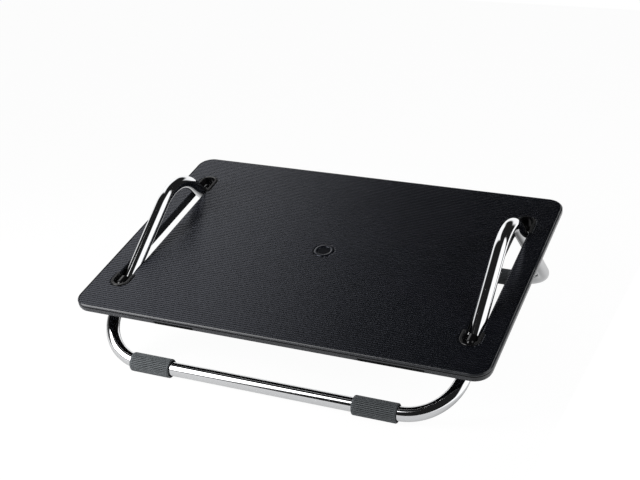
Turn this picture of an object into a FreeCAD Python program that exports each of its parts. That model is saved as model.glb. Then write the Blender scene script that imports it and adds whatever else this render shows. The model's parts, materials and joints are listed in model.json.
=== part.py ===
import FreeCAD, Part
import math
import os
from FreeCAD import Vector

# Footrest with a tilting platform on a bent tube frame. Millimetres.
# X runs to the right, Y to the back and Z up. The origin is on the floor,
# midway between the front and the rear floor bar.

# Platform
platform_width = 520.0
platform_depth = 354.0
platform_corner_radius = 20.0
platform_skin = 3.0
skirt_height = 9.6
skirt_wall = 2.6
skirt_step_height = 4.6
skirt_step_inset = 0.8
skirt_pocket_width = 40.0
skirt_pocket_depth = 1.1
skirt_pocket_offset = 170.0
top_edge_round = 1.0
rest_tilt = 15.8

# Ribs under the platform
rib_thickness = 1.8
rib_depth = 5.2
long_rib_count = 5
cross_rib_count = 8

# Slots in the platform. Their ends bear on the legs a little below its top face.
slot_side_margin = 36.0
front_bearing_margin = 66.5
rear_bearing_margin = 67.5
bearing_depth = 6.0
slot_side_gap = 0.6
slot_wall = 2.2

# Guides that cap the slot ends and ride on the legs
guide_cheek = 2.75
guide_pocket_gap = 0.15
rim_lap = 1.5
rim_height = 1.4
rim_round = 1.1
rim_width = 3.4
nose_radius = 6.0
front_guide_reach = 20.3
front_guide_arm = 4.6
front_mouth_depth = 5.5
front_dish_depth = 3.4
front_nose_reach = 17.0
front_nose_rise = 1.0
rear_guide_reach = 20.0
rear_guide_arm = 14.0
rear_dish_depth = 5.0
rear_nose_reach = 8.5
rear_nose_rise = -1.5
saddle_clearance = 0.3

# Frame of bent tube
tube_diameter = 16.5
tube_wall = 1.5
bar_overhang = 99.0
front_leg_angle = 41.2
rear_leg_angle = 35.3
corner_bend_radius = 62.0
arch_bend_radius = 66.5

# Spigots inside the tube joints
spigot_length = 40.0
spigot_clearance = 0.05
spigot_chamfer = 1.0

# Ribbed rubber sleeves over the joints
sleeve_wall = 3.1
sleeve_length = 52.5
front_sleeve_shift = -4.7
rear_sleeve_shift = 0.0
sleeve_rib_count = 32
sleeve_rib_depth = 0.6
sleeve_end_chamfer = 1.0
sleeve_fit = 0.05
sleeve_bend_reach = 10.95
sleeve_mouth_gap = 0.2
sleeve_flat = 0.5

# Sizes that follow from the ones above
bar_spacing = platform_depth + bar_overhang
tube_radius = tube_diameter / 2
bore_radius = tube_radius - tube_wall
sleeve_radius = tube_radius + sleeve_wall
side_x = platform_width / 2 - slot_side_margin
straight_stub = max(spigot_length / 2, sleeve_length / 2 + abs(front_sleeve_shift) - sleeve_bend_reach)
joint_offset = side_x - corner_bend_radius - straight_stub
bar_height = sleeve_radius - sleeve_flat
front_slope = math.radians(front_leg_angle)
rear_slope = math.radians(rear_leg_angle)
tilt = math.radians(rest_tilt)
slot_width = tube_diameter + 2 * slot_side_gap
front_bearing = front_bearing_margin
rear_bearing = platform_depth - rear_bearing_margin
bearing_span = rear_bearing - front_bearing
saddle_radius = tube_radius + saddle_clearance
guide_width = tube_diameter + 2 * guide_cheek
sweep_steps = 4
far = 90.0

x_axis = Vector(1, 0, 0)
front_bar = Vector(0, -bar_spacing / 2, bar_height)
rear_bar = Vector(0, bar_spacing / 2, bar_height)
front_leg_way = Vector(0, math.cos(front_slope), math.sin(front_slope))
rear_leg_way = Vector(0, math.cos(rear_slope), -math.sin(rear_slope))
front_leg_outward = Vector(0, -math.sin(front_slope), math.cos(front_slope))
rear_leg_outward = Vector(0, math.sin(rear_slope), math.cos(rear_slope))


def crossing(start_a, way_a, start_b, way_b):
    """Point where two lines in the YZ plane cross."""
    gap = start_b - start_a
    turn = way_a.y * way_b.z - way_a.z * way_b.y
    along = (gap.y * way_b.z - gap.z * way_b.y) / turn
    return start_a + way_a * along


def bearing_points(angle):
    """Where the two slot ends touch the legs when the platform stands at a tilt.

    Both ends slide on straight legs, so the span between them and the two legs
    form a triangle, and the law of sines gives the two distances from the top.
    """
    top = crossing(
        front_bar + front_leg_outward * saddle_radius,
        front_leg_way,
        rear_bar + rear_leg_outward * saddle_radius,
        rear_leg_way,
    )
    spread = math.sin(front_slope + rear_slope)
    front_run = bearing_span * math.sin(rear_slope + angle) / spread
    rear_run = bearing_span * math.sin(front_slope - angle) / spread
    return top - front_leg_way * front_run, top + rear_leg_way * rear_run


def tilt_pole():
    """Centre of the turn that takes the platform from its rest tilt to level."""
    steep = bearing_points(tilt)[0]
    level = bearing_points(0.0)[0]
    step = level - steep
    lever = 1 / (2 * math.tan(-tilt / 2))
    return (steep + level) * 0.5 + Vector(0, -step.z, step.y) * lever


platform_turn = FreeCAD.Rotation(x_axis, rest_tilt)
front_bearing_local = Vector(0, front_bearing, -bearing_depth)
platform_origin = bearing_points(tilt)[0] - platform_turn.multVec(front_bearing_local)
platform_place = FreeCAD.Placement(platform_origin, platform_turn)
pole = tilt_pole()


def place_on_platform(shape):
    """Moves a shape from the platform's own frame to its rest place."""
    placed = shape.copy()
    placed.Placement = platform_place.multiply(placed.Placement)
    return placed


def rounded_prism(width, depth, radius, bottom, top, inset=0.0):
    """Upright prism over a rounded rectangle whose front edge lies at Y = 0."""
    half = width / 2 - inset
    front = inset
    back = depth - inset
    corner = radius - inset
    prism = Part.makeBox(2 * half, back - front, top - bottom, Vector(-half, front, bottom))
    uprights = [edge for edge in prism.Edges if abs(edge.tangentAt(0).z) > 0.9]
    return prism.makeFillet(corner, uprights)


def pill(width, round_y, square_y, bottom, top):
    """Upright prism with one half-round end at round_y and one square end."""
    radius = width / 2
    way = 1 if square_y > round_y else -1
    shoulder = round_y + way * radius
    first = Vector(-radius, square_y, bottom)
    second = Vector(-radius, shoulder, bottom)
    third = Vector(radius, shoulder, bottom)
    fourth = Vector(radius, square_y, bottom)
    edges = [
        Part.LineSegment(first, second).toShape(),
        Part.Arc(second, Vector(0, round_y, bottom), third).toShape(),
        Part.LineSegment(third, fourth).toShape(),
        Part.LineSegment(fourth, first).toShape(),
    ]
    return Part.Face(Part.Wire(edges)).extrude(Vector(0, 0, top - bottom))


def bent_wire(corners, radii):
    """Straight runs joined by tangent arcs at the inner corners."""
    edges = []
    start = corners[0]
    for before, corner, after, radius in zip(corners, corners[1:], corners[2:], radii):
        incoming = (before - corner).normalize()
        outgoing = (after - corner).normalize()
        half_angle = incoming.getAngle(outgoing) / 2
        reach = radius / math.tan(half_angle)
        middle = (incoming + outgoing).normalize()
        entry = corner + incoming * reach
        leave = corner + outgoing * reach
        crown = corner + middle * (radius / math.sin(half_angle) - radius)
        edges.append(Part.LineSegment(start, entry).toShape())
        edges.append(Part.Arc(entry, crown, leave).toShape())
        start = leave
    edges.append(Part.LineSegment(start, corners[-1]).toShape())
    return Part.Wire(edges)


def side_path(side):
    """Centre line of a bent side tube, from its front joint over the arch to its rear joint."""
    top = crossing(front_bar, front_leg_way, rear_bar, rear_leg_way)
    shift = x_axis * (side * side_x)
    stub = x_axis * (side * joint_offset)
    corners = [front_bar + stub, front_bar + shift, top + shift, rear_bar + shift, rear_bar + stub]
    return bent_wire(corners, [corner_bend_radius, arch_bend_radius, corner_bend_radius])


def side_tube(side):
    """Bent tube: stub of the front bar, front leg, arch, rear leg, stub of the rear bar."""
    path = side_path(side)
    start = front_bar + x_axis * (side * joint_offset)
    rods = []
    for radius in (tube_radius, bore_radius):
        ring = Part.Wire(Part.makeCircle(radius, start, x_axis))
        rods.append(path.makePipeShell([ring], True, False))
    tube = rods[0].cut(rods[1])
    ring_area = math.pi * (tube_radius ** 2 - bore_radius ** 2)
    print("side tube volume over section times length:", round(tube.Volume / ring_area / path.Length, 5))
    return tube


def cross_tube(bar):
    """Straight tube of a floor bar between its two joints."""
    start = bar - x_axis * joint_offset
    outside = Part.makeCylinder(tube_radius, 2 * joint_offset, start, x_axis)
    inside = Part.makeCylinder(bore_radius, 2 * joint_offset, start, x_axis)
    return outside.cut(inside)


def spigot(bar, side):
    """Plug inside a tube joint, half in each tube, with chamfered ends."""
    start = bar + x_axis * (side * joint_offset - spigot_length / 2)
    rod = Part.makeCylinder(bore_radius - spigot_clearance, spigot_length, start, x_axis)
    rims = [edge for edge in rod.Edges if edge.isClosed() and not edge.isSeam(rod.Faces[0])]
    return rod.makeChamfer(spigot_chamfer, rims)


def sleeve_bore(start, shift):
    """Bore of a sleeve, with wider mouths that clear the first of the tube's bend."""
    mouth_depth = sleeve_length / 2 + abs(shift) - straight_stub + sleeve_end_chamfer
    bend_drift = mouth_depth ** 2 / (2 * corner_bend_radius)
    mouth_radius = tube_radius + bend_drift + sleeve_mouth_gap
    bore = Part.makeCylinder(tube_radius + sleeve_fit, sleeve_length, start, x_axis)
    mouths = []
    for mouth_start in (0.0, sleeve_length - mouth_depth):
        mouth_place = start + x_axis * mouth_start
        mouths.append(Part.makeCylinder(mouth_radius, mouth_depth, mouth_place, x_axis))
    return bore.fuse(mouths)


def ribbed_outline(centre, inset):
    """Outline of a sleeve across its length: flat-topped ribs with a narrower valley between them."""
    pitch = 2 * math.pi / sleeve_rib_count
    rib = sleeve_radius - inset
    valley = rib - sleeve_rib_depth
    corners = ((-0.25, rib), (0.25, rib), (0.375, valley), (0.625, valley))
    points = []
    for index in range(sleeve_rib_count):
        for turn, radius in corners:
            angle = (index + turn) * pitch
            points.append(centre + Vector(0, radius * math.cos(angle), radius * math.sin(angle)))
    return Part.makePolygon(points + points[:1])


def sleeve(bar, side, shift):
    """Rubber sleeve over a joint, ribbed along its length, with a narrow flat on the floor."""
    start = bar + x_axis * (side * joint_offset + shift - sleeve_length / 2)
    outlines = []
    for along, inset in ((0.0, sleeve_end_chamfer), (sleeve_end_chamfer, 0.0),
                         (sleeve_length - sleeve_end_chamfer, 0.0), (sleeve_length, sleeve_end_chamfer)):
        outlines.append(ribbed_outline(start + x_axis * along, inset))
    ribbed = Part.makeLoft(outlines, True, True)
    slab_low = start + Vector(0, -sleeve_radius, -sleeve_radius - sleeve_flat)
    slab = Part.makeBox(sleeve_length, 2 * sleeve_radius, 2 * sleeve_flat, slab_low)
    return ribbed.cut([sleeve_bore(start, shift), slab])


def leg_sweep(side, bar, way, outward, extra):
    """Space that a leg takes in the platform's rest frame over the whole tilt.

    Each step holds the leg's round outside and the slab inside of its axis.
    """
    radius = tube_radius + extra
    centre = bar + x_axis * (side * side_x)
    leg_length = bar_spacing / 2 / abs(way.y)
    inward = outward * -1
    steps = []
    for index in range(sweep_steps):
        rod = Part.makeCylinder(radius, leg_length, centre, way)
        slab_edge = centre - x_axis * radius
        base = Part.makePolygon([
            slab_edge,
            slab_edge + way * leg_length,
            slab_edge + way * leg_length + inward * far,
            slab_edge + inward * far,
            slab_edge,
        ])
        slab = Part.Face(base).extrude(x_axis * (2 * radius))
        step = rod.fuse(slab)
        step.rotate(pole, x_axis, rest_tilt * index / (sweep_steps - 1))
        steps.append(step)
    return steps[0].fuse(steps[1:])


def leg_sweeps(side, extra):
    """Sweeps of the front and the rear leg of one side."""
    front = leg_sweep(side, front_bar, front_leg_way, front_leg_outward, extra)
    rear = leg_sweep(side, rear_bar, rear_leg_way * -1, rear_leg_outward, extra)
    return front, rear


def slot_outline(side, margin, bottom, top):
    """Slot with its two guide pockets, widened all round by a margin."""
    lane_half = slot_width / 2 + margin
    lane = Part.makeBox(2 * lane_half, bearing_span, top - bottom, Vector(-lane_half, front_bearing, bottom))
    pocket_width = guide_width + 2 * margin
    front_end = front_bearing - front_guide_reach - margin
    rear_end = rear_bearing + rear_guide_reach + margin
    front = pill(pocket_width, front_end, front_bearing + front_guide_arm + margin, bottom, top)
    rear = pill(pocket_width, rear_end, rear_bearing - rear_guide_arm - margin, bottom, top)
    outline = lane.fuse([front, rear])
    outline.translate(x_axis * (side * side_x))
    return outline


def rib_grid():
    """Stiffening ribs under the skin, long ones left to right and cross ones front to back."""
    ribs = []
    low = -platform_skin - rib_depth
    for index in range(long_rib_count):
        middle = platform_depth * (index + 1) / (long_rib_count + 1)
        corner = Vector(-platform_width / 2, middle - rib_thickness / 2, low)
        ribs.append(Part.makeBox(platform_width, rib_thickness, rib_depth, corner))
    for index in range(cross_rib_count):
        middle = platform_width * ((index + 1) / (cross_rib_count + 1) - 0.5)
        corner = Vector(middle - rib_thickness / 2, 0, low)
        ribs.append(Part.makeBox(rib_thickness, platform_depth, rib_depth, corner))
    return ribs


def skirt_pocket(side):
    """Shallow pocket in the lower half of the front skirt, open below."""
    depth = skirt_step_inset + skirt_pocket_depth
    height = skirt_height - skirt_step_height
    middle = side * skirt_pocket_offset
    corner = Vector(middle - skirt_pocket_width / 2, 0, -skirt_height)
    return Part.makeBox(skirt_pocket_width, depth, height, corner)


def platform(sweeps):
    """Moulded plate with a stepped skirt, two walled slots and ribs underneath."""
    size = (platform_width, platform_depth, platform_corner_radius)
    upper = rounded_prism(*size, -skirt_step_height, 0.0)
    top_edges = [edge for edge in upper.Edges if edge.BoundBox.ZMin > -0.01]
    upper = upper.makeFillet(top_edge_round, top_edges)
    lower = rounded_prism(*size, -skirt_height, -skirt_step_height, skirt_step_inset)
    cavity = rounded_prism(*size, -skirt_height, -platform_skin, skirt_wall)
    kept = rib_grid()
    for side in (-1, 1):
        kept.append(slot_outline(side, slot_wall, -skirt_height, -platform_skin))
    plate = upper.fuse(lower).cut(cavity.cut(kept))
    for side in (-1, 1):
        plate = plate.cut([slot_outline(side, 0.0, -skirt_height, 0.0), skirt_pocket(side)])
    return place_on_platform(plate).cut(sweeps).removeSplitter()


def saddle_nose(root, end, rise, floor):
    """Rounded ridge from its root to a ball end, between a floor and its own rise."""
    way = 1 if end > root else -1
    ball_middle = end - way * nose_radius
    middle = rise - nose_radius
    low = min(root, ball_middle)
    rod = Part.makeCylinder(nose_radius, abs(ball_middle - root), Vector(0, low, middle), Vector(0, 1, 0))
    ball = Part.makeSphere(nose_radius, Vector(0, ball_middle, middle))
    room = Part.makeBox(2 * far, 2 * far, 2 * nose_radius, Vector(-far, root - far, floor))
    return rod.fuse(ball).common(room)


def guide(side, bearing, way, sizes, sweep):
    """Smooth saddle that fills a slot end, with a low round rim, a dish inside it and a nose over the leg.

    The way is the direction from the leg to the slot's end. A mouth depth above
    zero hollows the open edge round the leg.
    """
    reach, arm, mouth_depth, dish_depth, nose_reach, nose_rise = sizes
    round_end = bearing + way * reach
    arm_end = bearing - way * arm
    inner_width = guide_width - 2 * guide_pocket_gap
    body = pill(inner_width, round_end - way * guide_pocket_gap, arm_end, -skirt_height, 0.0)
    rim_outside = guide_width + 2 * rim_lap
    rim = pill(rim_outside, round_end + way * rim_lap, arm_end, 0.0, rim_height)
    crown = [edge for edge in rim.Edges if edge.BoundBox.ZMin > rim_height - 0.01]
    dish_end = round_end + way * (rim_lap - rim_width)
    dish = pill(rim_outside - 2 * rim_width, dish_end, arm_end - way, -dish_depth, rim_height)
    nose = saddle_nose(arm_end, bearing + way * nose_reach, nose_rise, -dish_depth - 1)
    piece = body.fuse(rim.makeFillet(rim_round, crown)).cut(dish).fuse(nose)
    if mouth_depth > 0:
        mouth_low = Vector(0, arm_end + way * (mouth_depth - saddle_radius), -skirt_height)
        mouth = Part.makeCylinder(saddle_radius, skirt_height + 2 * rim_height, mouth_low)
        piece = piece.cut(mouth)
    piece.translate(x_axis * (side * side_x))
    return place_on_platform(piece).cut(sweep).removeSplitter()


def save(name, shape):
    """Writes one piece, which must be one valid closed solid."""
    if len(shape.Solids) != 1 or not shape.isValid():
        raise ValueError(name + " is not one sound solid: " + str(len(shape.Solids)))
    shape.Solids[0].exportStep(os.path.join("parts", name + ".step"))
    heights = round(shape.BoundBox.ZMin, 2), round(shape.BoundBox.ZMax, 2)
    print(name, "volume", round(shape.Volume), "faces", len(shape.Faces), "z", *heights)


def main():
    os.makedirs("parts", exist_ok=True)
    front_sizes = (front_guide_reach, front_guide_arm, front_mouth_depth,
                   front_dish_depth, front_nose_reach, front_nose_rise)
    rear_sizes = (rear_guide_reach, rear_guide_arm, 0.0,
                  rear_dish_depth, rear_nose_reach, rear_nose_rise)
    platform_cuts = []
    for side, side_name in ((-1, "left"), (1, "right")):
        front_sweep, rear_sweep = leg_sweeps(side, saddle_clearance)
        save("front_" + side_name + "_guide", guide(side, front_bearing, -1, front_sizes, front_sweep))
        save("rear_" + side_name + "_guide", guide(side, rear_bearing, 1, rear_sizes, rear_sweep))
        platform_cuts.extend(leg_sweeps(side, slot_side_gap))
        save(side_name + "_side_tube", side_tube(side))
        save("front_" + side_name + "_spigot", spigot(front_bar, side))
        save("rear_" + side_name + "_spigot", spigot(rear_bar, side))
        save("front_" + side_name + "_sleeve", sleeve(front_bar, side, front_sleeve_shift))
        save("rear_" + side_name + "_sleeve", sleeve(rear_bar, side, rear_sleeve_shift))
    save("front_cross_tube", cross_tube(front_bar))
    save("rear_cross_tube", cross_tube(rear_bar))
    save("platform", platform(platform_cuts))
    print("tilt axis y", round(pole.y, 4), "z", round(pole.z, 4))
    print("platform front edge y", round(platform_origin.y, 3), "z", round(platform_origin.z, 3))


main()
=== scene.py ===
import json
import math
import bpy
import numpy as np
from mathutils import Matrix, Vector


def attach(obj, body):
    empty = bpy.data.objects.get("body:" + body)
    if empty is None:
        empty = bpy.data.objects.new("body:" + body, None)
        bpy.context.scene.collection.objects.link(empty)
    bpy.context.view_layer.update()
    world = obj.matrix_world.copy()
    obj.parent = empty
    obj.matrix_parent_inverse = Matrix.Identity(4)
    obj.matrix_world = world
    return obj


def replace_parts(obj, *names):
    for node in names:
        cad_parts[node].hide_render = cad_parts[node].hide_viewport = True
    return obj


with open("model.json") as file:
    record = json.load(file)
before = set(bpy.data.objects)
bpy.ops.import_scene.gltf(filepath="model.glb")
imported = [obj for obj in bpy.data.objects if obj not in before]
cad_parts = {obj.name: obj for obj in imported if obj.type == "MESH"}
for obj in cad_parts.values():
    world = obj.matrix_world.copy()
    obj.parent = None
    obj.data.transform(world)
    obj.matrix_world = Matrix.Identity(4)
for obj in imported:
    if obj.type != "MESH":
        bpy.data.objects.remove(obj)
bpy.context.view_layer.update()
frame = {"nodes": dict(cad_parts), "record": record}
print("frame loaded:", len(frame["nodes"]), "nodes")

mm = 0.001

# Sizes that the pieces share, in millimetres, as the frame has them
plate = {
    "width": 520.0, "depth": 354.0, "cornerRadius": 20.0, "tilt": math.radians(15.8),
    "frontEdge": (-222.61, 70.733),  # Y and Z of the top face's front edge
}
loop = {
    "tubeRadius": 8.25, "boreRadius": 6.75, "sideX": 224.0, "barY": 226.5, "barZ": 10.85,
    "frontLeg": math.radians(41.2), "rearLeg": math.radians(35.3),
    "cornerBend": 62.0, "archBend": 66.5, "jointX": 142.0,
}


def linear(hexColour):  # sRGB hex to linear red, green, blue and alpha
    parts = np.array([int(hexColour[i:i + 2], 16) for i in (1, 3, 5)]) / 255
    parts = np.where(parts <= 0.04045, parts / 12.92, ((parts + 0.055) / 1.055) ** 2.4)
    return (*parts.tolist(), 1.0)


def addNode(tree, kind, inputs=None, **settings):
    # A shader node with its settings, and a link or a value on each input socket
    node = tree.nodes.new("ShaderNode" + kind)
    for key, value in settings.items():
        setattr(node, key, value)
    for key, value in (inputs or {}).items():
        if isinstance(value, bpy.types.NodeSocket):
            tree.links.new(value, node.inputs[key])
        else:
            node.inputs[key].default_value = value
    return node


def newMaterial(name):  # with an empty node tree and the object's own coordinates
    material = bpy.data.materials.new(name)
    material.use_nodes = True
    tree = material.node_tree
    tree.nodes.clear()
    return material, tree, addNode(tree, "TexCoord").outputs["Object"]


# Materials

# A pattern's scale is one over the size of its grain. The real grain and grit of the mouldings are finer than
# a render shows, so they are drawn about 1 mm wide.
noiseRange = {"From Min": 0.3, "From Max": 0.7}  # a noise pattern hardly leaves it


def satinPolypropylene():
    # Polypropylene moulded in a satin mould: near black, with a soft wide sheen, a trace of blue and a very
    # fine grain
    material, tree, place = newMaterial("satin_polypropylene")
    grain = addNode(tree, "TexNoise", {"Vector": place, "Scale": 1 / (1.2 * mm), "Detail": 3.0})
    cloud = addNode(tree, "TexNoise", {"Vector": place, "Scale": 1 / (60 * mm), "Detail": 2.0}).outputs["Fac"]
    rough = addNode(tree, "MapRange", {"Value": cloud, **noiseRange, "To Min": 0.19, "To Max": 0.22})
    tone = addNode(tree, "Mix", {0: cloud, 6: linear("#07080c"), 7: linear("#0a0b10")}, data_type="RGBA")
    bump = addNode(tree, "Bump", {"Height": grain.outputs["Fac"], "Strength": 0.01, "Distance": 0.05 * mm})
    shader = addNode(tree, "BsdfPrincipled", {
        "Base Color": tone.outputs[2], "Roughness": rough.outputs["Result"], "IOR": 1.49,
        "Specular Tint": linear("#e9eeff"), "Normal": bump.outputs["Normal"],
    })
    addNode(tree, "OutputMaterial", {"Surface": shader.outputs["BSDF"]})
    return material


def mattPolypropylene():
    # The same plastic where nothing polishes it, between the ridges and underneath: duller, with a deeper
    # black that is painted shade. Its low IOR, painted shade too, stands for the light that is caught between
    # the ridges.
    material, tree, place = newMaterial("matt_polypropylene")
    dust = addNode(tree, "TexNoise", {"Vector": place, "Scale": 1 / (8 * mm), "Detail": 4.0}).outputs["Fac"]
    rough = addNode(tree, "MapRange", {"Value": dust, **noiseRange, "To Min": 0.55, "To Max": 0.7})
    tone = addNode(tree, "Mix", {0: dust, 6: linear("#050608"), 7: linear("#08090c")}, data_type="RGBA")
    shader = addNode(tree, "BsdfPrincipled", {
        "Base Color": tone.outputs[2], "Roughness": rough.outputs["Result"], "IOR": 1.2,
        "Specular Tint": linear("#e9eeff"),
    })
    addNode(tree, "OutputMaterial", {"Surface": shader.outputs["BSDF"]})
    return material


def sparkedPolypropylene():
    # The same plastic where the mould was spark eroded: a fine grit that scatters light and reads greyer
    material, tree, place = newMaterial("sparked_polypropylene")
    grit = addNode(tree, "TexNoise", {"Vector": place, "Scale": 1 / (0.9 * mm), "Detail": 4.0})
    wear = addNode(tree, "TexNoise", {"Vector": place, "Scale": 1 / (22 * mm), "Detail": 3.0}).outputs["Fac"]
    rough = addNode(tree, "MapRange", {"Value": wear, **noiseRange, "To Min": 0.18, "To Max": 0.25})
    tone = addNode(tree, "Mix", {0: wear, 6: linear("#1e1f22"), 7: linear("#2a2b2e")}, data_type="RGBA")
    bump = addNode(tree, "Bump", {"Height": grit.outputs["Fac"], "Strength": 0.12, "Distance": 0.05 * mm})
    shader = addNode(tree, "BsdfPrincipled", {
        "Base Color": tone.outputs[2], "Roughness": rough.outputs["Result"], "IOR": 1.49,
        "Normal": bump.outputs["Normal"],
    })
    addNode(tree, "OutputMaterial", {"Surface": shader.outputs["BSDF"]})
    return material


def paintedShadeRecess():
    # The same plastic in narrow grooves and pockets as painted shade: dull black with a low IOR, that mirrors
    # almost nothing
    material, tree, place = newMaterial("painted_shade_recess")
    grit = addNode(tree, "TexNoise", {"Vector": place, "Scale": 1 / (1.5 * mm), "Detail": 3.0}).outputs["Fac"]
    tone = addNode(tree, "Mix", {0: grit, 6: linear("#040405"), 7: linear("#0a0a0b")}, data_type="RGBA")
    shader = addNode(tree, "BsdfPrincipled", {"Base Color": tone.outputs[2], "Roughness": 0.9, "IOR": 1.25})
    addNode(tree, "OutputMaterial", {"Surface": shader.outputs["BSDF"]})
    return material


def polishedNylon():
    # Moulded nylon: black, satin on the rim and rubbed to small sharp glints along the middle, over the leg
    material, tree, place = newMaterial("polished_nylon")
    smear = addNode(tree, "TexNoise", {"Vector": place, "Scale": 1 / (9 * mm), "Detail": 2.0}).outputs["Fac"]
    across = addNode(tree, "SeparateXYZ", {0: place}).outputs["X"]
    size = addNode(tree, "Math", {0: across}, operation="ABSOLUTE")
    aside = addNode(tree, "Math", {0: size.outputs[0], 1: loop["sideX"] * mm}, operation="SUBTRACT")
    offMiddle = addNode(tree, "Math", {0: aside.outputs[0]}, operation="ABSOLUTE")
    rough = addNode(tree, "MapRange", {
        "Value": offMiddle.outputs[0], "From Min": 5 * mm, "From Max": 8 * mm, "To Min": 0.14, "To Max": 0.5,
    }, interpolation_type="SMOOTHSTEP")
    tone = addNode(tree, "Mix", {0: smear, 6: linear("#070708"), 7: linear("#0b0b0c")}, data_type="RGBA")
    shader = addNode(tree, "BsdfPrincipled", {
        "Base Color": tone.outputs[2], "Roughness": rough.outputs["Result"], "IOR": 1.46,
    })
    addNode(tree, "OutputMaterial", {"Surface": shader.outputs["BSDF"]})
    return material


def chromePlate():
    # Bright chrome over polished steel tube: mirror-like, with a trace of waviness from bending and polishing
    material, tree, place = newMaterial("chrome_plate")
    wave = addNode(tree, "TexNoise", {"Vector": place, "Scale": 1 / (14 * mm), "Detail": 1.0})
    haze = addNode(tree, "TexNoise", {"Vector": place, "Scale": 1 / (5 * mm), "Detail": 3.0}).outputs["Fac"]
    rough = addNode(tree, "MapRange", {"Value": haze, **noiseRange, "To Min": 0.04, "To Max": 0.08})
    tone = addNode(tree, "Mix", {0: haze, 6: linear("#e2e3e5"), 7: linear("#e9eaeb")}, data_type="RGBA")
    bump = addNode(tree, "Bump", {"Height": wave.outputs["Fac"], "Strength": 0.06, "Distance": 0.2 * mm})
    shader = addNode(tree, "BsdfPrincipled", {
        "Base Color": tone.outputs[2], "Metallic": 1.0, "Roughness": rough.outputs["Result"],
        "Normal": bump.outputs["Normal"],
    })
    addNode(tree, "OutputMaterial", {"Surface": shader.outputs["BSDF"]})
    return material


def ribbedRubber():
    # Black synthetic rubber, moulded and unpolished: dull grey with a dusty bloom on its ribs, and painted
    # black between them as shade. Each sleeve's valley attribute is 1 between two ribs and 0 on them.
    material, tree, place = newMaterial("ribbed_rubber")
    bloom = addNode(tree, "TexNoise", {"Vector": place, "Scale": 1 / (6 * mm), "Detail": 4.0}).outputs["Fac"]
    grain = addNode(tree, "TexNoise", {"Vector": place, "Scale": 1 / (0.8 * mm), "Detail": 2.0})
    ribs = addNode(tree, "Mix", {0: bloom, 6: linear("#3b3e40"), 7: linear("#525557")}, data_type="RGBA")
    valley = addNode(tree, "Attribute", attribute_name="valley").outputs["Fac"]
    # Painted shade: the rubber goes near black in the valleys between the ribs
    tone = addNode(tree, "Mix", {0: valley, 6: ribs.outputs[2], 7: linear("#121314")}, data_type="RGBA")
    rough = addNode(tree, "MapRange", {"Value": bloom, **noiseRange, "To Min": 0.5, "To Max": 0.64})
    bump = addNode(tree, "Bump", {"Height": grain.outputs["Fac"], "Strength": 0.2, "Distance": 0.06 * mm})
    shader = addNode(tree, "BsdfPrincipled", {
        "Base Color": tone.outputs[2], "Roughness": rough.outputs["Result"], "IOR": 1.3,
        "Normal": bump.outputs["Normal"],
    })
    addNode(tree, "OutputMaterial", {"Surface": shader.outputs["BSDF"]})
    return material


def turnedSteel():
    # Plain turned steel: grey, with tool rings round its axis, drawn further apart than the real ones so that
    # they show. A wave pattern of scale s repeats every tau / (20 s) metres.
    material, tree, place = newMaterial("turned_steel")
    ringGap = 0.4 * math.tau * mm
    rings = addNode(tree, "TexWave", {
        "Vector": place, "Scale": math.tau / (20 * ringGap), "Distortion": 0.4,
    }, wave_type="BANDS", bands_direction="X").outputs["Fac"]
    rough = addNode(tree, "MapRange", {"Value": rings, "To Min": 0.3, "To Max": 0.42})
    bump = addNode(tree, "Bump", {"Height": rings, "Strength": 0.2, "Distance": 0.02 * mm})
    shader = addNode(tree, "BsdfPrincipled", {
        "Base Color": linear("#8d8e90"), "Metallic": 1.0, "Roughness": rough.outputs["Result"],
        "Normal": bump.outputs["Normal"],
    })
    addNode(tree, "OutputMaterial", {"Surface": shader.outputs["BSDF"]})
    return material


finishes = {
    "platform": satinPolypropylene(), "guide": polishedNylon(), "tube": chromePlate(),
    "sleeve": ribbedRubber(), "spigot": turnedSteel(),
    "ground": mattPolypropylene(), "skirt": sparkedPolypropylene(), "recess": paintedShadeRecess(),
}
for part in frame["record"]["subparts"]:
    node = frame["nodes"][part["node"]]
    node.data.materials.clear()
    node.data.materials.append(finishes["ground" if part["node"] == "platform" else part["material_slot"]])
print("materials ready:", len(finishes))


# Mesh helpers

def quadGrid(rows, columns, closeRows=False, closeColumns=False):
    # Quads between neighbouring grid points, whose index is row times columns plus column
    row = np.arange(rows if closeRows else rows - 1)[:, None]
    column = np.arange(columns if closeColumns else columns - 1)[None, :]
    nextRow, nextColumn = (row + 1) % rows, (column + 1) % columns
    corners = (row * columns + column, nextRow * columns + column,
               nextRow * columns + nextColumn, row * columns + nextColumn)
    return np.stack([corner + np.zeros_like(corners[0]) for corner in corners], -1).reshape(-1, 4)


def addPiece(name, vertices, faces, body, slotName, sharpAngle=40.0, finish=None):
    # A piece from vertices in millimetres, smooth except along edges sharper than sharpAngle, in degrees.
    # Where no finish is named, it has its slot's own.
    mesh = bpy.data.meshes.new(name)
    points = np.asarray(vertices, float).reshape(-1, 3) * mm
    mesh.from_pydata(points.tolist(), [], [list(face) for face in faces])
    mesh.shade_smooth()
    mesh.set_sharp_from_angle(angle=math.radians(sharpAngle))
    mesh.materials.append(finishes[finish or slotName])
    piece = bpy.data.objects.new(name, mesh)
    bpy.context.scene.collection.objects.link(piece)
    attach(piece, body)
    return piece


def onPlate(x, along, height):
    # Points of the platform, from x across it, along its top face from the front edge, and height above that
    # face: the last two are turned by the tilt
    y = plate["frontEdge"][0] + along * math.cos(plate["tilt"]) - height * math.sin(plate["tilt"])
    z = plate["frontEdge"][1] + along * math.sin(plate["tilt"]) + height * math.cos(plate["tilt"])
    return np.stack(np.broadcast_arrays(x, y, z), -1)


# Bent tubes

tubeDetail = {"aroundCount": 64, "bendStep": math.radians(3.0)}


def turned(vectors, axis, angles):
    # Vectors turned about a unit axis by angles a: v cos a + (axis x v) sin a + axis (axis . v)(1 - cos a)
    a = angles[:, None]
    along = (vectors @ axis)[..., None] * axis
    return vectors * np.cos(a) + np.cross(axis, vectors) * np.sin(a) + along * (1 - np.cos(a))


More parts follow.
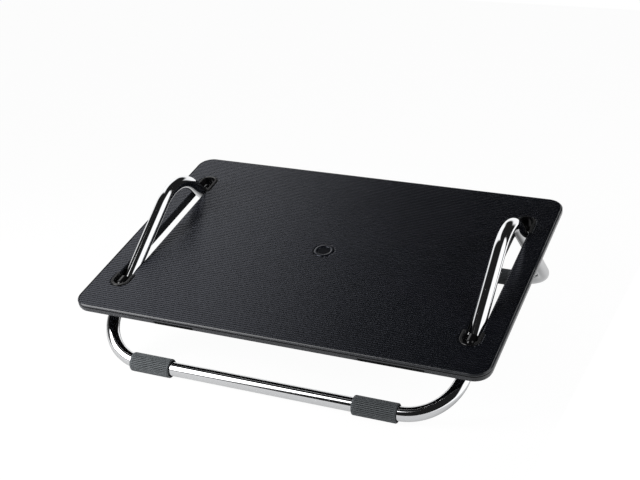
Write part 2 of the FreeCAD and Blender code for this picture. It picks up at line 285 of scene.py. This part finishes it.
def bentStations(corners, radii):
    # Points and two side directions along straight runs joined by tangent arcs.
    # On each arc all of them turn about the arc's axis, so the ring never twists.
    corners = [np.array(corner, float) for corner in corners]
    way = corners[1] - corners[0]
    way /= np.linalg.norm(way)
    first = np.array([0.0, 0.0, 1.0]) if abs(way[2]) < 0.9 else np.array([1.0, 0.0, 0.0])
    first -= way * (first @ way)
    first /= np.linalg.norm(first)
    points, firsts, ways = [corners[0][None]], [first[None]], [way[None]]
    for corner, after, radius in zip(corners[1:], corners[2:], radii):
        onward = after - corner
        onward /= np.linalg.norm(onward)
        turn = math.acos(float(np.clip(way @ onward, -1, 1)))
        axis = np.cross(way, onward) / math.sin(turn)
        entry = corner - way * radius * math.tan(turn / 2)
        centre = entry + np.cross(axis, way) * radius
        angles = np.linspace(0, turn, max(3, int(turn / tubeDetail["bendStep"])) + 1)
        points.append(centre + turned((entry - centre)[None], axis, angles))
        firsts.append(turned(first[None], axis, angles))
        ways.append(turned(way[None], axis, angles))
        first, way = firsts[-1][-1], ways[-1][-1]
    points.append(corners[-1][None])
    firsts.append(first[None])
    ways.append(way[None])
    points, firsts, ways = (np.concatenate(part) for part in (points, firsts, ways))
    return points, firsts, np.cross(ways, firsts)


def tubeSurface(corners, radii):
    # Ring of outer radius carried along the path, then the bore's ring carried back, joined at both ends
    points, firsts, seconds = bentStations(corners, radii)
    angle = np.linspace(0, 2 * math.pi, tubeDetail["aroundCount"], endpoint=False)
    ring = firsts[:, None] * np.cos(angle)[:, None] + seconds[:, None] * np.sin(angle)[:, None]
    outside = points[:, None] + ring * loop["tubeRadius"]
    inside = (points[:, None] + ring * loop["boreRadius"])[::-1]
    surface = np.concatenate([outside, inside])
    return surface, quadGrid(len(surface), len(angle), True, True)[:, ::-1]


def sideTube(sign):
    # The path runs from the front joint round the corner, up the front leg, over the arch and back down.
    # The arch's corner is where the two legs' lines meet, by the law of sines.
    x, stub = sign * loop["sideX"], sign * loop["jointX"]
    spread = math.sin(loop["frontLeg"] + loop["rearLeg"])
    frontRun = 2 * loop["barY"] * math.sin(loop["rearLeg"]) / spread
    topY = -loop["barY"] + frontRun * math.cos(loop["frontLeg"])
    topZ = loop["barZ"] + frontRun * math.sin(loop["frontLeg"])
    corners = [
        (stub, -loop["barY"], loop["barZ"]), (x, -loop["barY"], loop["barZ"]), (x, topY, topZ),
        (x, loop["barY"], loop["barZ"]), (stub, loop["barY"], loop["barZ"]),
    ]
    return tubeSurface(corners, (loop["cornerBend"], loop["archBend"], loop["cornerBend"]))


for sign, sideName in ((-1, "left"), (1, "right")):
    nodeName = sideName + "_side_tube"
    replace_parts(addPiece("chromed_" + nodeName, *sideTube(sign), "frame", "tube"), nodeName)
for sign, endName in ((-1, "front"), (1, "rear")):
    nodeName = endName + "_cross_tube"
    ends = [(x, sign * loop["barY"], loop["barZ"]) for x in (-loop["jointX"], loop["jointX"])]
    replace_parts(addPiece("chromed_" + nodeName, *tubeSurface(ends, ()), "frame", "tube"), nodeName)
print("tubes ready")


# Ribbed sleeves

sleeveShape = {
    "radius": 11.35, "length": 52.5, "boreRadius": 8.3, "endRound": 1.4, "ribCount": 32, "ribDepth": 0.75,
    "pointsPerRib": 8, "roundCount": 5, "alongCount": 9, "valleyGain": 1.6, "valleyStart": 0.3,
    "mouthBevel": (0.2, 0.4), "mouthStep": 0.8,  # bevel's radius and depth, length of the step to the bore
    "frontShift": -4.7, "frontMouth": (9.6, 11.95),  # radius and depth of the wide mouths
    "rearShift": 0.0, "rearMouth": (8.87, 7.25),
}


def sleeveSurface(middle, mouthRadius, mouthDepth):
    # The wall's closed outline is turned about X: radius = outline radius - rib depth * weight * valley.
    # The valley is a cosine round the sleeve, times a gain, less a start, and clipped to 0 and 1. The weight
    # is 1 outside and 0 in the bore.
    s = sleeveShape
    bevel, bevelDepth = s["mouthBevel"]
    half, radius, bend = s["length"] / 2, s["radius"], s["endRound"]
    quarter = np.linspace(0, math.pi / 2, s["roundCount"])
    roundX, roundR = half - bend + bend * np.sin(quarter), radius - bend + bend * np.cos(quarter)
    straightX = np.linspace(-half + 3 * bend, half - 3 * bend, s["alongCount"])
    outerX = np.concatenate([-roundX[::-1], straightX, roundX])
    outerR = np.concatenate([roundR[::-1], np.full(len(straightX), radius), roundR])
    fade = np.clip((half - np.abs(outerX)) / (2 * bend), 0, 1)
    boreX = half - np.array([0, bevelDepth, mouthDepth, mouthDepth + s["mouthStep"]])
    boreR = np.array([mouthRadius + bevel, mouthRadius, mouthRadius, s["boreRadius"]])
    outlineX = np.concatenate([outerX, boreX, -boreX[::-1]])
    outlineR = np.concatenate([outerR, boreR, boreR[::-1]])
    weight = np.concatenate([fade, np.zeros(2 * len(boreX))])
    angle = np.linspace(0, 2 * math.pi, s["ribCount"] * s["pointsPerRib"], endpoint=False)
    valley = np.clip(np.cos(s["ribCount"] * angle) * s["valleyGain"] - s["valleyStart"], 0, 1)
    valley = weight[:, None] * valley
    reach = outlineR[:, None] - valley * s["ribDepth"]
    surface = np.stack([
        middle[0] + outlineX[:, None] + np.zeros_like(reach),
        middle[1] + reach * np.cos(angle),
        np.maximum(middle[2] + reach * np.sin(angle), 0.0),
    ], -1)
    return surface, quadGrid(len(outlineX), len(angle), True, True), valley


for sign, endName in ((-1, "front"), (1, "rear")):
    for side, sideName in ((-1, "left"), (1, "right")):
        nodeName = endName + "_" + sideName + "_sleeve"
        middle = (side * loop["jointX"] + sleeveShape[endName + "Shift"], sign * loop["barY"], loop["barZ"])
        *surface, valley = sleeveSurface(middle, *sleeveShape[endName + "Mouth"])
        sleeve = addPiece("rubber_" + nodeName, *surface, "frame", "sleeve", 60.0)
        # The valley goes to the rubber too, which paints the rib valleys with shade
        sleeve.data.attributes.new("valley", "FLOAT", "POINT").data.foreach_set("value", valley.ravel())
        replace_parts(sleeve, nodeName)
print("sleeves ready")


# Ridges on the platform's top

ridges = {
    "pitch": 3.57, "width": 2.35, "height": 0.4, "squareness": 3.0, "sink": 0.3, "acrossCount": 9,
    "border": 2.6, "taper": 0.9, "tipRise": 0.1,  # share of the height at the tip of a taper
    "slotMargin": 0.5, "slotHalfWidth": 8.85, "slotEnds": (66.5, 286.5),  # along the platform
    "collarHalfWidth": 12.5, "collars": ((44.7, 71.1), (308.0, 272.5)),  # round tip, ends of its arms
    "ringRadius": 13.3,
}


def ridgeSpans():
    # For each ridge, the stretches left between the border, the slots with their round collars, and the ring.
    # A round shape's half width at a distance d from its centre is the root of radius^2 - d^2.
    r, corner, depth = ridges, plate["cornerRadius"], plate["depth"]
    count = int((depth - 2 * r["border"] - r["width"]) / r["pitch"]) + 1
    along = (depth - (count - 1) * r["pitch"]) / 2 + r["pitch"] * np.arange(count)
    intoCorner = np.maximum(corner - np.minimum(along, depth - along), 0)
    halfWidth = plate["width"] / 2 - r["border"] - corner + np.sqrt(corner ** 2 - intoCorner ** 2)
    inSlot = (r["slotEnds"][0] <= along) & (along <= r["slotEnds"][1])
    slotHalf = np.where(inSlot, r["slotHalfWidth"] + r["slotMargin"], 0)
    wide = r["collarHalfWidth"] + r["slotMargin"]
    for tip, arm in r["collars"]:
        inward = (along - tip) * math.copysign(1, arm - tip) + r["slotMargin"]
        collarHalf = np.sqrt(wide ** 2 - (wide - np.clip(inward, 0, wide)) ** 2)
        inCollar = (inward > 0) & (inward < abs(arm - tip) + 2 * r["slotMargin"])
        slotHalf = np.where(inCollar, np.maximum(slotHalf, collarHalf), slotHalf)
    ringHalf = np.sqrt(np.maximum(r["ringRadius"] ** 2 - (along - depth / 2) ** 2, 0))
    spans = []
    for place, reach, slot, ring in zip(along, halfWidth, slotHalf, ringHalf):
        gaps = ((-loop["sideX"], slot), (0, ring), (loop["sideX"], slot))
        ends = [middle + side * half for middle, half in gaps if half for side in (-1, 1)]
        ends = [-reach, *ends, reach]
        spans += [(place, left, right) for left, right in zip(ends[::2], ends[1::2])]
    return np.array([span for span in spans if span[2] - span[1] > 3 * r["taper"]])


def ridgeSurface():
    # Across a ridge, t from -1 to 1, it rises by height times (1 - |t|^p)^(1/p): flat on top with rounded
    # sides. It tapers at both ends of its stretch.
    r = ridges
    along, left, right = ridgeSpans().T
    t = np.cos(np.linspace(math.pi, 0, r["acrossCount"]))
    crown = (1 - np.abs(t) ** r["squareness"]) ** (1 / r["squareness"])
    profileS = np.concatenate([t, [1.0, -1.0]]) * r["width"] / 2
    profileH = np.concatenate([r["height"] * crown, [-r["sink"], -r["sink"]]])
    steps = r["taper"] * np.arange(3)
    x = np.concatenate([left[:, None] + steps, right[:, None] - steps[::-1]], 1)
    rise = np.array([r["tipRise"], 1.0, 1.0, 1.0, 1.0, r["tipRise"]])
    height = np.where(profileH > 0, profileH * rise[:, None], profileH)
    surface = onPlate(x[:, :, None], along[:, None, None] + profileS, height[None])
    rows, columns = len(rise), len(profileS)
    tile = quadGrid(rows, columns, False, True)
    offsets = np.arange(len(along))[:, None, None] * rows * columns
    sides = (tile[None] + offsets).reshape(-1, 4).tolist()
    cap = np.arange(columns)
    caps = [(offset + cap[::-1]).tolist() for offset in offsets[:, 0, 0]]
    caps += [(offset + (rows - 1) * columns + cap).tolist() for offset in offsets[:, 0, 0]]
    return surface, sides + caps


addPiece("platform_ridges", *ridgeSurface(), "platform", "platform", 50.0)
print("ridges ready")


# Plain moulded ring in the middle of the platform

ringShape = {
    "radius": 10.4, "width": 5.2, "height": 1.0, "sink": 0.3, "acrossCount": 9, "aroundCount": 96,
}


def ringSurface():
    # A half ellipse, height times the root of 1 - t^2, turned about the platform's normal
    s = ringShape
    t = np.cos(np.linspace(math.pi, 0, s["acrossCount"]))
    radius = s["radius"] + np.concatenate([t, [1.0, -1.0]]) * s["width"] / 2
    height = np.concatenate([s["height"] * np.sqrt(1 - t ** 2), [-s["sink"], -s["sink"]]])
    angle = np.linspace(0, 2 * math.pi, s["aroundCount"], endpoint=False)[:, None]
    surface = onPlate(radius * np.cos(angle), plate["depth"] / 2 + radius * np.sin(angle), height)
    return surface, quadGrid(s["aroundCount"], len(radius), True, True)


addPiece("platform_centre_ring", *ringSurface(), "platform", "platform", 50.0)
print("ring ready")


# Moulding round the platform's skirt

skirtShape = {  # out from the platform's edge, and down from its top face
    "lipOut": 0.5, "lipRound": 1.5, "lipFlatness": 1.7, "lipRise": 0.4, "lipDepth": 2.2, "lipTuck": 2.2,
    "grooveOut": 0.04, "grooveDepth": 3.1,
    "bandOut": 0.45, "bandDepth": 7.8, "bandTaper": 0.15,
    "footOut": -0.68, "footDepth": 9.7, "footTaper": 0.4,
    "wall": 2.7, "backOut": -1.7, "backDepths": (8.4, 7.8, 1.4), "softEdge": 0.2, "bevel": 0.3,
    "pockets": ((-120.0, 26.0), (151.0, 39.0)),  # middle and half width along the front
    "pocketTop": 5.2, "pocketOut": -0.76, "pocketEdge": 0.4, "pocketLedge": 0.05,
    "frontCount": 23, "cornerCount": 13, "roundCount": 7,
}


def skirtOutline():
    # Rows of out and down: the lip with its rounding, a quarter of a superellipse, the groove, the band, the
    # foot and the hidden back. The third number marks rows that a pocket draws back, the fourth the groove's;
    # the pocketed and groove faces are painted with shade.
    s = skirtShape
    quarter = np.linspace(math.pi / 2, 0, s["roundCount"])
    roundOut = s["lipOut"] - s["lipRound"] + s["lipRound"] * np.abs(np.cos(quarter)) ** s["lipFlatness"]
    roundLow = s["lipRound"] - s["lipRise"] - s["lipRound"] * np.sin(quarter) ** s["lipFlatness"]
    lip = [
        (-s["lipTuck"], s["bevel"]), *zip(roundOut, roundLow), (s["lipOut"], s["lipDepth"] - s["softEdge"]),
    ]
    groove = [(s["grooveOut"], s["lipDepth"]), (s["grooveOut"], s["grooveDepth"])]
    band = [(s["bandOut"], s["grooveDepth"] + s["softEdge"]), (s["bandOut"], s["pocketTop"])]
    lower = [
        (s["bandOut"], s["pocketTop"] + s["pocketLedge"]),
        (s["bandOut"] - s["bandTaper"], s["bandDepth"] - s["bevel"]), (s["footOut"], s["bandDepth"]),
        (s["footOut"], s["footDepth"] - s["bevel"]), (s["footOut"] - s["footTaper"], s["footDepth"]),
    ]
    footBack, backFoot, backTop = s["backDepths"]
    back = [
        (s["bevel"] - s["wall"], s["footDepth"]), (-s["wall"], s["footDepth"] - s["bevel"]),
        (-s["wall"], footBack), (s["backOut"], backFoot), (s["backOut"], backTop),
    ]
    parts = ((lip, 0, 0), (groove, 0, 1), (band, 0, 0), (lower, 1, 0), (back, 0, 0))
    return np.array([(out, low, drawn, dark) for rows, drawn, dark in parts for out, low in rows]).T


def skirtSurface():
    # The closed outline is carried round the platform's edge: point = edge(u) + out(v) * normal(u), set down
    # by low(v). Along the front its band and foot draw back into the pockets.
    s = skirtShape
    out, low, pocketRows, grooveRows = skirtOutline()
    inX, corner = plate["width"] / 2 - plate["cornerRadius"], plate["cornerRadius"]
    inS = plate["depth"] - corner
    middles = np.repeat([(inX, corner), (inX, inS), (-inX, inS), (-inX, corner)], s["cornerCount"], 0)
    turn = np.linspace(0, math.pi / 2, s["cornerCount"])
    angle = (np.arange(-1, 3)[:, None] * math.pi / 2 + turn).ravel()
    cornerNormals = np.stack([np.cos(angle), np.sin(angle)], -1)
    pocketEnds = [middle + side * part for middle, half in s["pockets"] for side in (-1, 1)
                  for part in (half, half - s["pocketEdge"])]
    frontX = np.sort(np.concatenate([np.linspace(-inX, inX, s["frontCount"]), pocketEnds]))
    edge = np.concatenate([middles + corner * cornerNormals, np.stack([frontX, 0 * frontX], -1)])
    normals = np.concatenate([cornerNormals, np.tile([0.0, -1.0], (len(frontX), 1))])
    nearEnough = 0.001
    inPocket = np.any([np.abs(frontX - middle) <= half - s["pocketEdge"] + nearEnough
                       for middle, half in s["pockets"]], 0)
    inPocket = np.concatenate([np.zeros(len(angle), bool), inPocket])
    pocketed = inPocket[:, None] & (pocketRows > 0)
    drawn = np.where(pocketed, s["pocketOut"], out)
    surface = onPlate(edge[:, :1] + normals[:, :1] * drawn, edge[:, 1:] + normals[:, 1:] * drawn, -low)
    # The faces of the pockets and the groove come back marked, to be painted with shade
    return surface, quadGrid(len(edge), len(out), True, True), pocketed | (grooveRows > 0)


*skirtMesh, paintedShadeFaces = skirtSurface()
skirt = addPiece("platform_skirt_moulding", *skirtMesh, "platform", "platform", 35.0, "skirt")
# The groove and pocket faces take the recess finish: painted shade where these recesses are dark
skirt.data.materials.append(finishes["recess"])
skirt.data.polygons.foreach_set("material_index", paintedShadeFaces.ravel().astype(np.int32))
print("skirt ready")


# Floor

floorShape = {
    "halfSize": 3000.0, "cameraLight": 0.96,  # share of plain white that lifts the paper for the camera
    "mirroredShare": 0.85, "mirroredLight": 0.62,  # how pale mirror rays see it
    # Mirror rays see a painted pool of light towards the right and a painted shadow under the object
    "rightGain": 2.4, "rightX": (260.0, 400.0),  # brighter for them towards the right
    "shade": 0.9, "shadeX": (190.0, 290.0), "shadeY": (150.0, 250.0),  # and dark under the object
}


def paleFloor():
    # Matt white studio paper. The camera sees it lifted to white, with the object's shadow. Mirror rays see
    # it glow pale, with a painted pool of light to the right and a painted shadow where the object stands
    # over it.
    material, tree, place = newMaterial("white_studio_paper")
    f = floorShape
    fibre = addNode(tree, "TexNoise", {"Vector": place, "Scale": 1 / (3 * mm), "Detail": 3.0})
    bump = addNode(tree, "Bump", {"Height": fibre.outputs["Fac"], "Strength": 0.02, "Distance": 0.1 * mm})
    paper = addNode(tree, "BsdfDiffuse", {"Color": linear("#ffffff"), "Normal": bump.outputs["Normal"]})
    apart = addNode(tree, "SeparateXYZ", {0: place}).outputs
    # Painted shadow: mirror rays see the floor dark under the object
    shade = f["shade"]
    for axis in "XY":
        near, far = f["shade" + axis]
        reach = addNode(tree, "Math", {0: apart[axis]}, operation="ABSOLUTE")
        inside = addNode(tree, "MapRange", {
            "Value": reach.outputs[0], "From Min": near * mm, "From Max": far * mm,
            "To Min": 1.0, "To Max": 0.0,
        }, interpolation_type="SMOOTHSTEP")
        shade = addNode(tree, "Math", {0: inside.outputs[0], 1: shade}, operation="MULTIPLY").outputs[0]
    uncovered = addNode(tree, "Math", {0: 1.0, 1: shade}, operation="SUBTRACT")
    # Painted pool of light: mirror rays see the floor brighter towards the right
    near, far = f["rightX"]
    pale = addNode(tree, "MapRange", {
        "Value": apart["X"], "From Min": near * mm, "From Max": far * mm,
        "To Min": f["mirroredLight"], "To Max": f["mirroredLight"] * f["rightGain"],
    }, interpolation_type="SMOOTHSTEP")
    mirrored = addNode(tree, "Math", {0: uncovered.outputs[0], 1: pale.outputs[0]}, operation="MULTIPLY")
    ray = addNode(tree, "LightPath").outputs
    strength = addNode(tree, "Math", {0: ray["Is Camera Ray"], 1: mirrored.outputs[0]}, operation="MAXIMUM")
    glow = addNode(tree, "Emission", {"Color": linear("#ffffff"), "Strength": strength.outputs[0]})
    glossy = addNode(tree, "Math", {0: ray["Is Glossy Ray"], 1: f["mirroredShare"]}, operation="MULTIPLY")
    share = addNode(tree, "Math", {0: ray["Is Camera Ray"], 1: f["cameraLight"], 2: glossy.outputs[0]},
                    operation="MULTIPLY_ADD")
    mix = addNode(tree, "MixShader", {0: share.outputs[0], 1: paper.outputs[0], 2: glow.outputs[0]})
    addNode(tree, "OutputMaterial", {"Surface": mix.outputs["Shader"]})
    return material


half = floorShape["halfSize"] * mm
floorMesh = bpy.data.meshes.new("floor")
floorCorners = [(-half, -half, 0), (half, -half, 0), (half, half, 0), (-half, half, 0)]
floorMesh.from_pydata(floorCorners, [], [(0, 1, 2, 3)])
floorMesh.materials.append(paleFloor())
floor = bpy.data.objects.new("floor", floorMesh)
bpy.context.scene.collection.objects.link(floor)
print("floor ready")


# Light

# The gloss mirrors soft panels round a dark studio, and an even fill and two soft boxes light the rest
studio = {
    "darkness": 0.014, "fillStrength": 0.3,
    # Azimuth from and to, counted from the back (+Y) towards the right (+X), elevation from and to at the
    # panel's middle, the slope of its top, its brightness, and how soft its edges are. Angles are in degrees.
    "panels": {
        "rightPanel": (59, 112, -9, 56, 0.0, 1.3, 4),
        "frontLeftPanel": (-152, -114, 11, 56, 0.0, 6.0, 4),
        "backWall": (-72, -27, -9, 56, -0.75, 1.2, 6),
        "lowBackWall": (-27, 24, -9, 22, 0.0, 1.1, 5),
        "leftWall": (-115, -72, -9, 20, 0.0, 0.12, 12),
    },
    "softboxes": {  # place and aim in metres, width, height, watts
        "frontLeftBox": ((-0.62, -0.62, 0.33), (-0.12, -0.2, 0.05), 0.45, 0.4, 12.5),
        "rightBox": ((1.7, 0.1, 1.1), (0, 0, 0.1), 1.2, 0.9, 24),
    },
}

world = bpy.data.worlds.new("studio")
bpy.context.scene.world = world
world.use_nodes = True
tree = world.node_tree
tree.nodes.clear()
ray = addNode(tree, "LightPath").outputs
direction = addNode(tree, "TexCoord").outputs["Generated"]
way = addNode(tree, "SeparateXYZ", {0: direction}).outputs
turn = addNode(tree, "Math", {0: way["X"], 1: way["Y"]}, operation="ARCTAN2")
lift = addNode(tree, "Math", {0: way["Z"]}, operation="ARCSINE")
azimuth, elevation = (
    addNode(tree, "Math", {0: angle.outputs[0], 1: math.degrees(1)}, operation="MULTIPLY").outputs[0]
    for angle in (turn, lift))
light = studio["darkness"]
for start, end, bottom, top, slope, brightness, edge in studio["panels"].values():
    # A panel is its brightness times a smooth step at each of its sides, up (1) or down (-1)
    level = addNode(tree, "Math", {0: azimuth, 1: -slope, 2: elevation}, operation="MULTIPLY_ADD").outputs[0]
    levelTop = top - slope * (start + end) / 2
    sides = (azimuth, start, 1), (azimuth, end, -1), (elevation, bottom, 1), (level, levelTop, -1)
    panel = brightness
    for value, limit, rise in sides:
        step = addNode(tree, "MapRange", {
            "Value": value, "From Min": limit - edge, "From Max": limit + edge,
            "To Min": (1 - rise) / 2, "To Max": (1 + rise) / 2,
        }, interpolation_type="SMOOTHSTEP")
        panel = addNode(tree, "Math", {0: step.outputs[0], 1: panel}, operation="MULTIPLY").outputs[0]
    light = addNode(tree, "Math", {0: light, 1: panel}, operation="ADD").outputs[0]
mirrorLight, fillLight, plainWhite = (
    addNode(tree, "Background", {"Color": linear("#ffffff"), "Strength": strength}).outputs[0]
    for strength in (light, studio["fillStrength"], 1.0))
lit = addNode(tree, "MixShader", {0: ray["Is Glossy Ray"], 1: fillLight, 2: mirrorLight})
through = addNode(tree, "Math", {0: ray["Is Camera Ray"], 1: ray["Is Transmission Ray"]}, operation="MAXIMUM")
seen = addNode(tree, "MixShader", {0: through.outputs[0], 1: lit.outputs[0], 2: plainWhite})
addNode(tree, "OutputWorld", {"Surface": seen.outputs[0]})


def aim(thing, place, target):  # stands at a place and looks at a target along its own -Z
    thing.location = place
    thing.rotation_euler = (Vector(target) - Vector(place)).to_track_quat("-Z", "Y").to_euler()


for name, (place, target, width, height, watts) in studio["softboxes"].items():
    lamp = bpy.data.lights.new(name, "AREA")
    lamp.shape = "RECTANGLE"
    lamp.size, lamp.size_y, lamp.energy = width, height, watts
    box = bpy.data.objects.new(name, lamp)
    bpy.context.scene.collection.objects.link(box)
    aim(box, place, target)
    box.visible_glossy = False  # the world's panels are what the gloss mirrors
print("light ready")

# Camera: where it stood in the photo, from the platform's corners and the tubes' edges

view = {
    "place": (0.54914, -1.32708, 0.61797), "yaw": -0.41046, "pitch": 0.33610,  # metres and radians
    "focalPixels": 1188.82, "imageWidth": 640, "sensorWidth": 36.0,
}
camera = bpy.data.cameras.new("camera")
camera.sensor_width = view["sensorWidth"]
camera.lens = view["focalPixels"] * view["sensorWidth"] / view["imageWidth"]
cameraObject = bpy.data.objects.new("camera", camera)
bpy.context.scene.collection.objects.link(cameraObject)
cameraObject.location = view["place"]
cameraObject.rotation_euler = (math.pi / 2 - view["pitch"], 0, -view["yaw"])
bpy.context.scene.camera = cameraObject
bpy.context.scene.view_settings.view_transform = "Standard"
print("camera ready")
